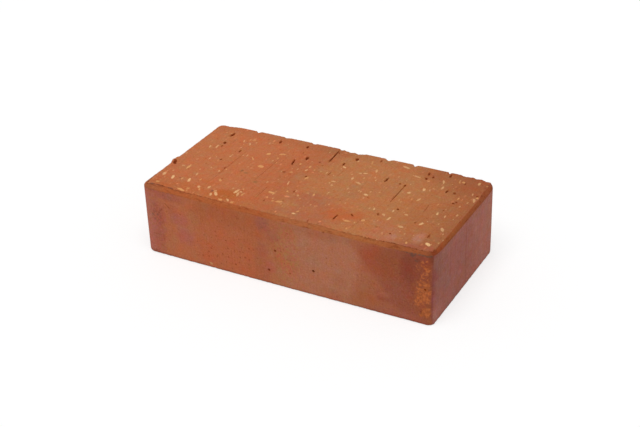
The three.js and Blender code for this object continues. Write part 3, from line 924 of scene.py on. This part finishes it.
def put_values(mesh, name, values):
    """Gives the mesh's vertices a value or a colour each, for the material to read."""
    if values.ndim == 1:
        attribute = mesh.attributes.new(name, "FLOAT", "POINT")
        attribute.data.foreach_set("value", values.astype(np.float32))
    else:
        attribute = mesh.attributes.new(name, "FLOAT_COLOR", "POINT")
        opaque = np.concatenate([values, np.ones((len(values), 1))], 1)
        attribute.data.foreach_set("color", opaque.astype(np.float32).ravel())


def looks_of(points, box_points, top, front):
    """The colours and grain of each point."""
    px, py = from_corner(points)
    warp = [lumps(points, *settings) for settings in WARPS]
    bed = paint(BED, BED_LIGHT, BED_ZONES, BED_PATCHES, px, py, warp)
    inside, share, tint = grain_of(points)
    looks = {
        "bed_clay": bed,
        "skin_clay": skin_colour(points, box_points, warp),
        "band_clay": band_colour(points, box_points, bed),
        "end": smooth_step(LENGTH / 2 - np.abs(points[:, 0]), *END_FADE),
        "grain": np.where(top, inside, OUTSIDE),
        "grain_share": share,
        "grain_tint": tint,
    }
    for name, ovals in FRONT_GRAINS.items():
        looks[name] = front * mask(ovals, px, points[:, 2], warp)
    return looks


def make_brick():
    box_points, faces = sharp_box()
    bent, cut, band = shape(box_points)
    mesh = bpy.data.meshes.new("brick_body")
    mesh.from_pydata(bent, [], faces)
    mesh.update()

    top = box_points[:, 2] > HEIGHT - ON_SIDE
    front = to_sides(box_points)[0] < ON_SIDE
    bed_hollow, bed_dark = bed_hollow_of(bent)
    skin_hollow, skin_dark = skin_hollow_of(bent)
    line, foot_line = edge_lines(bent, box_points)
    groove = GROOVE_DEPTH * line * np.exp(-((cut / GROOVE_WIDTH) ** 2))
    hollow = bed_hollow * top + skin_hollow * front + groove

    points = bent + vertex_normals(mesh) * (relief_of(bent, cut) - hollow)[:, None]
    half = np.array([LENGTH / 2, WIDTH / 2])
    points[:, :2] = np.clip(points[:, :2], -half, half)
    points[:, 2] = np.clip(points[:, 2], 0, HEIGHT)
    mesh.vertices.foreach_set("co", (points * MM).ravel())

    looks = looks_of(points, box_points, top, front)
    looks["dark"] = bed_dark * top + skin_dark * front
    looks.update(cut=cut, band=band, line=line, foot_line=foot_line)
    for name, values in looks.items():
        put_values(mesh, name, values)
    mesh.polygons.foreach_set("use_smooth", np.ones(len(mesh.polygons), bool))
    mesh.update()

    brick = add_object("brick_body", mesh)
    mesh.materials.append(clay_material())
    return brick


# ---- Material ----

# A noise's middle, where it counts as fully low and fully high, and the whole range of the finest
# one. Then the radius of flecks and how soft they are, as shares of their cell.
MID_NOISE = 0.5
LOW_NOISE = 0.28
HIGH_NOISE = 0.72
FINE_RANGE = (0.2, 0.8)
FLECK_LEAST = 0.12
FLECK_RANGE = 0.2
FLECK_EDGE = 0.05


class Tree:
    """Short names for making and linking shader nodes."""

    def __init__(self, owner):
        owner.use_nodes = True
        self.tree = owner.node_tree
        self.tree.nodes.clear()

    def node(self, kind, inputs=None, **settings):
        made = self.tree.nodes.new("ShaderNode" + kind)
        for name, value in settings.items():
            setattr(made, name, value)
        for name, value in (inputs or {}).items():
            self.put(made.inputs[name], value)
        return made

    def finish(self, kind, shader):
        """Makes the output node and links the shader to it."""
        self.node(kind, {"Surface": shader})

    def put(self, socket, value):
        if isinstance(value, bpy.types.NodeSocket):
            self.tree.links.new(value, socket)
        else:
            socket.default_value = value

    def attribute(self, name, output="Fac"):
        return self.node("Attribute", attribute_name=name).outputs[output]

    def math(self, operation, a, b=0.0, c=0.0):
        return self.node("Math", {0: a, 1: b, 2: c}, operation=operation).outputs[0]

    def times(self, a, b):
        return self.math("MULTIPLY", a, b)

    def plus(self, value, noise_value, amount):
        """The value, with that much of a noise on it."""
        return self.math("MULTIPLY_ADD", noise_value, amount, value)

    def vector(self, operation, a, b):
        return self.node("VectorMath", {0: a, 1: b}, operation=operation).outputs[0]

    def span(self, value, low, high, to_low=0.0, to_high=1.0):
        ends = {"From Min": low, "From Max": high, "To Min": to_low, "To Max": to_high}
        made = self.node("MapRange", {"Value": value, **ends}, interpolation_type="SMOOTHSTEP")
        return made.outputs[0]

    def mix(self, share, a, b, blend_type="MIX"):
        colours = {0: share, 6: a, 7: b}
        return self.node("Mix", colours, data_type="RGBA", blend_type=blend_type).outputs[2]

    def shade(self, share, colour, tint):
        """Multiplies the colour by a tint, by a share."""
        return self.mix(share, colour, (*tint, 1.0), "MULTIPLY")

    def swing(self, noise_value, colour, under, over, most=1.0):
        """Multiplies the colour by one tint where a noise is low, by the other where it is high."""
        low = self.span(noise_value, MID_NOISE, LOW_NOISE, 0.0, most)
        high = self.span(noise_value, MID_NOISE, HIGH_NOISE, 0.0, most)
        return self.shade(high, self.shade(low, colour, under), over)

    def noise(self, vector, size, detail, roughness):
        """Noise with lumps of about that size in millimetres, from 0 to 1."""
        inputs = {"Vector": vector, "Scale": 1 / size, "Detail": detail, "Roughness": roughness}
        return self.node("TexNoise", inputs).outputs["Fac"]

    def flecks(self, vector, size, share, strength):
        """Small round spots, in a share of the cells of that size: the strength inside them."""
        cells = self.node("TexVoronoi", {"Vector": vector, "Scale": 1 / size})
        chance = self.node("SeparateColor", {"Color": cells.outputs["Color"]}).outputs
        radius = self.plus(FLECK_LEAST, chance["Green"], FLECK_RANGE)
        gap = self.math("SUBTRACT", cells.outputs["Distance"], radius)
        picked = self.math("LESS_THAN", chance["Red"], share)
        return self.times(self.times(self.span(gap, FLECK_EDGE, -FLECK_EDGE), picked), strength)


def rgba(colour, light=BED_LIGHT):
    return (*clay(colour, light), 1.0)


# What the clay's colour is multiplied by where it is darker, redder and so on.
TO_DARK = (0.72, 0.62, 0.55)
TO_DIM = (0.90, 0.84, 0.78)
TO_PALE = (1.10, 1.17, 1.24)
TO_STAIN = (1.0, 0.97, 0.6)
TO_RED = (1.05, 0.93, 0.89)
TO_OLIVE = (0.95, 1.07, 1.10)
TO_RUDDY = (1.03, 0.87, 0.93)
TO_MOSS = (0.95, 1.09, 0.86)
TO_GOLD = (1.0, 1.01, 0.87)
TO_MAUVE = (1.0, 0.98, 1.14)

# Size, detail and roughness.
NOISES = {
    "fine": (0.7, 4, 0.65), "grit": (1.3, 2, 0.6), "specks": (1.5, 2, 0.6),
    "middling": (3.5, 3, 0.6), "tinted": (5, 4, 0.65), "patchy": (9, 2, 0.5),
    "drag": (0.9, 3, 0.6), "streaks": (1.8, 3, 0.6), "baked": (0.8, 3, 0.6),
    "spots": (1.6, 2, 0.5), "flakes": (2.4, 4, 0.7), "glow": (2.4, 3, 0.6),
    "smudges": (1.5, 4, 0.75),
}
# Some are moved away from the others, and some are drawn out: what the place is multiplied by.
MOVED = {"tinted": (300, 0, 0), "specks": (0, 300, 0)}
DRAWN_OUT = {"drag": (1, 0.04, 0.04), "streaks": (1, 1, 0.05), "baked": (0.12, 0.12, 1)}
# Where a noise starts to show and where it shows in full, and its share at both where that isn't 0
# and 1. STREAKS_ON and PALE_ON are shares too: on the long sides, and on the ends.
FINE_SPAN = (0.48, 0.25, 0, 0.3)
DRAG_SPAN = (0.45, 0.25, 0, 0.4)
STREAK_SPAN = (0.5, 0.25)
RUDDY_SPAN = (0.5, 0.6)
MOSS_SPAN = (0.5, 0.4)
GLOW_SPAN = (0.42, 0.65)
BAKED_SPAN = (0.5, 0.3)
BROKEN_SPAN = (0.35, 0.6)
GRAIN_SPAN = (0.25, 0.6, 0.6, 1)
STREAKS_ON = (0.2, 0.4)
PALE_ON = (0, 0.5)
# How far noise breaks up the soft ovals of embers and soot, and their spans.
EMBER_FLAKING = 2.4
EMBER_SPAN = (1.6, 2.1, 0, 0.8)
SOOT_FLAKING = 3.0
SOOT_SPAN = (2.1, 2.9, 0, 0.8)
# How strongly the tints and the middling noise swing the clay's colour.
TINTED_SWING = 1.3
MIDDLING_SWING = 0.3
# Flecks: the size of their cells, the share that has one, and their strength, which the dots take
# from the face. Some of the bed's lie aslant.
RUST_FLECKS = (3.2, 0.35, 0.25)
CREAM_FLECKS = (2.1, 0.12, 0.3)
BED_FLECKS = (2.6, 0.12, 0.6)
SKIN_FLECKS = (3.4, 0.15, 0.5)
DOTS = (2.6, 0.45)
SLANT = -0.35
SLANT_STRETCH = (1, 0.45, 1)


def make_noises(t, mm):
    """The material's noises, by name."""
    made = {}
    for name, settings in NOISES.items():
        place = t.vector("ADD", mm, MOVED.get(name, (0, 0, 0)))
        place = t.vector("MULTIPLY", place, DRAWN_OUT.get(name, (1, 1, 1)))
        made[name] = t.noise(place, *settings)
    return SimpleNamespace(**made)


def mottled(t, colour, noises):
    """The mottle that the bed and the skin share."""
    colour = t.swing(noises.patchy, colour, TO_RED, TO_OLIVE)
    colour = t.swing(noises.tinted, colour, TO_GOLD, TO_MAUVE, TINTED_SWING)
    colour = t.swing(noises.specks, colour, TO_GOLD, TO_MAUVE)
    colour = t.swing(noises.middling, colour, TO_DIM, TO_PALE, MIDDLING_SWING)
    colour = t.swing(noises.grit, colour, TO_DIM, TO_PALE)
    return t.shade(t.span(noises.fine, *FINE_SPAN), colour, TO_DARK)


def bed_look(t, mm, noises):
    """The cut bed: mottled clay with the wire's drag lines and small flecks."""
    slanted = t.node("Mapping", {"Vector": mm, "Rotation": (0, 0, SLANT), "Scale": SLANT_STRETCH})
    slanted = slanted.outputs[0]
    colour = mottled(t, t.attribute("bed_clay", "Color"), noises)
    colour = t.swing(noises.middling, colour, TO_RED, TO_OLIVE)
    colour = t.shade(t.span(noises.drag, *DRAG_SPAN), colour, TO_DARK)
    colour = t.mix(t.flecks(slanted, *RUST_FLECKS), colour, rgba(RUST))
    colour = t.mix(t.flecks(slanted, *CREAM_FLECKS), colour, rgba(CREAM))
    return t.shade(t.flecks(mm, *BED_FLECKS), colour, TO_DARK)


def skin_look(t, mm, noises):
    """The die's skin: smoother, with upright streaks, and dots, soot and embers where they are."""
    end = t.attribute("end")
    streak = t.times(t.span(noises.streaks, *STREAK_SPAN), t.span(end, 0, 1, *STREAKS_ON))
    colour = mottled(t, t.attribute("skin_clay", "Color"), noises)
    colour = t.swing(noises.middling, colour, TO_DIM, TO_PALE, t.span(end, 0, 1, *PALE_ON))
    colour = t.shade(streak, colour, TO_DARK)

    mottle = t.attribute("mottle")
    colour = t.shade(t.times(t.span(noises.spots, *RUDDY_SPAN), mottle), colour, TO_RUDDY)
    colour = t.shade(t.times(t.span(noises.spots, *MOSS_SPAN), mottle), colour, TO_MOSS)
    colour = t.shade(t.flecks(mm, *DOTS, t.attribute("dots")), colour, TO_DARK)
    colour = t.shade(t.flecks(mm, *SKIN_FLECKS), colour, TO_DARK)

    spread = t.plus(t.attribute("ember"), noises.flakes, EMBER_FLAKING)
    bright = t.span(noises.glow, *GLOW_SPAN)
    glow = t.mix(bright, rgba(EMBER, FRONT_LIGHT), rgba(EMBER_BRIGHT, FRONT_LIGHT))
    glow = t.swing(noises.specks, glow, TO_RED, TO_OLIVE)
    colour = t.mix(t.span(spread, *EMBER_SPAN), colour, glow)
    smudges = t.plus(t.attribute("soot"), noises.smudges, SOOT_FLAKING)
    return t.mix(t.span(smudges, *SOOT_SPAN), colour, rgba(SOOT_AND_SHADE, FRONT_LIGHT))


# Where one surface gives way to the next, in millimetres: how ragged the border is, and where the
# change starts and ends. The cut's border also wanders.
BAND_RAGGED = 0.25
BAND_EDGE = (-0.5, 0.4)
SHADE_LINE_EDGE = (0.8, 0.2)
CUT_WANDER = 1.5
CUT_RAGGED = 0.3
CUT_EDGE = (-0.2, 0.2)
LINE_EDGE = (0.85, 0.25)
GRAIN_RAGGED = 0.4
GRAIN_EDGE = (-0.15, 0.25)
# The bumps of the clay's texture, which are too fine for the mesh, and how rough the surface is.
GRIT_HEIGHT = 0.8
BUMP_STRENGTH = 0.5
BUMP_HEIGHT = 0.25
ROUGHNESS = (0.8, 0.95)


def clay_material():
    material = bpy.data.materials.new("fired_clay")
    t = Tree(material)
    place = t.node("TexCoord").outputs["Object"]
    mm = t.vector("MULTIPLY", place, (1 / MM, 1 / MM, 1 / MM))
    noises = make_noises(t, mm)
    ragged = t.span(noises.fine, *FINE_RANGE, -1, 1)

    skin = skin_look(t, mm, noises)
    band_clay = t.attribute("band_clay", "Color")
    band_clay = t.shade(t.span(noises.baked, *BAKED_SPAN), band_clay, TO_DARK)
    band_clay = t.swing(noises.middling, band_clay, TO_RED, TO_OLIVE)
    band_clay = t.swing(noises.specks, band_clay, TO_DIM, TO_PALE)
    band = t.plus(t.attribute("band"), ragged, BAND_RAGGED)
    skin = t.mix(t.span(band, *BAND_EDGE), skin, band_clay)
    broken = t.span(noises.specks, *BROKEN_SPAN)
    # The dark line at the foot of the roll is painted shade, broken up by specks.
    foot_line = t.times(t.span(t.math("ABSOLUTE", band), *SHADE_LINE_EDGE), t.attribute("foot_line"))
    skin = t.mix(t.times(foot_line, broken), skin, rgba(SOOT_AND_SHADE, FRONT_LIGHT))

    cut = t.plus(t.attribute("cut"), noises.middling, CUT_WANDER)
    cut = t.plus(t.math("SUBTRACT", cut, CUT_WANDER / 2), ragged, CUT_RAGGED)
    colour = t.mix(t.span(cut, *CUT_EDGE), skin, bed_look(t, mm, noises))
    line = t.times(t.span(t.math("ABSOLUTE", cut), *LINE_EDGE), t.attribute("line"))
    colour = t.mix(t.times(line, broken), colour, rgba(LINE_COLOUR))

    inside = t.plus(t.attribute("grain"), ragged, GRAIN_RAGGED)
    share = t.times(t.span(inside, *GRAIN_EDGE), t.attribute("grain_share"))
    share = t.times(share, t.span(noises.fine, *GRAIN_SPAN))
    colour = t.mix(share, colour, t.attribute("grain_tint", "Color"))
    # Pits and cracks darkened by painted shade and soot, and the front's soot marks.
    colour = t.shade(t.attribute("dark"), colour, TO_STAIN)
    colour = t.mix(t.attribute("dark"), colour, rgba(PIT_DARK))

    height = t.plus(noises.fine, noises.grit, GRIT_HEIGHT)
    bumps = t.node("Bump", {"Height": height, "Strength": BUMP_STRENGTH})
    bumps.inputs["Distance"].default_value = BUMP_HEIGHT * MM
    shader = t.node("BsdfPrincipled", {"Base Color": colour, "Normal": bumps.outputs[0]})
    t.put(shader.inputs["Roughness"], t.span(noises.fine, *FINE_RANGE, *ROUGHNESS))
    shader.inputs["Specular IOR Level"].default_value = SPECULAR
    t.finish("OutputMaterial", shader.outputs[0])
    return material


# ---- Stage: floor, light and background ----

WORLD_LIGHT = 0.42
SUN_STRENGTH = 2.0
SUN_ANGLE = 50
SUN_TOWARDS = Vector((0.06, -0.32, 0.95))
FLOOR_SIZE = 8000
FLOOR_GAP = 0.2
FLOOR_SHADOW_SHARE = 0.4
WHITE = (1, 1, 1, 1)
FLOOR_PALE = (0.8, 0.8, 0.8, 1)


def seen_directly(t):
    """1 for rays that show the background itself: from the camera, a mirror or through glass."""
    path = t.node("LightPath").outputs
    straight = t.math("MAXIMUM", path["Is Camera Ray"], path["Is Glossy Ray"])
    return t.math("MAXIMUM", straight, path["Is Transmission Ray"])


def make_world():
    world = bpy.data.worlds.new("studio")
    bpy.context.scene.world = world
    t = Tree(world)
    strength = t.span(seen_directly(t), 0, 1, WORLD_LIGHT, 1.0)
    background = t.node("Background", {"Color": WHITE, "Strength": strength})
    t.finish("OutputWorld", background.outputs[0])


def make_floor():
    half = FLOOR_SIZE / 2
    corners = [(-half, -half), (half, -half), (half, half), (-half, half)]
    mesh = bpy.data.meshes.new("floor")
    mesh.from_pydata([(x * MM, y * MM, -FLOOR_GAP * MM) for x, y in corners], [], [(0, 1, 2, 3)])
    floor = add_object("floor", mesh)

    material = bpy.data.materials.new("floor_paper")
    t = Tree(material)
    pale = t.node("BsdfDiffuse", {"Color": FLOOR_PALE}).outputs[0]
    shadowed = t.node("BsdfDiffuse", {"Color": WHITE}).outputs[0]
    white = t.node("Emission", {"Color": WHITE, "Strength": 1.0}).outputs[0]
    shown = t.node("MixShader", {0: FLOOR_SHADOW_SHARE, 1: white, 2: shadowed}).outputs[0]
    paper = t.node("MixShader", {0: seen_directly(t), 1: pale, 2: shown})
    t.finish("OutputMaterial", paper.outputs[0])
    mesh.materials.append(material)


def make_sun():
    data = bpy.data.lights.new("sun", "SUN")
    data.energy = SUN_STRENGTH
    data.angle = np.radians(SUN_ANGLE)
    light = add_object("sun", data)
    light.rotation_euler = SUN_TOWARDS.to_track_quat("Z", "Y").to_euler()


make_camera()
make_world()
make_floor()
make_sun()
bpy.context.scene.view_settings.view_transform = "Standard"

brick = make_brick()
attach(brick, "root")
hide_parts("brick")
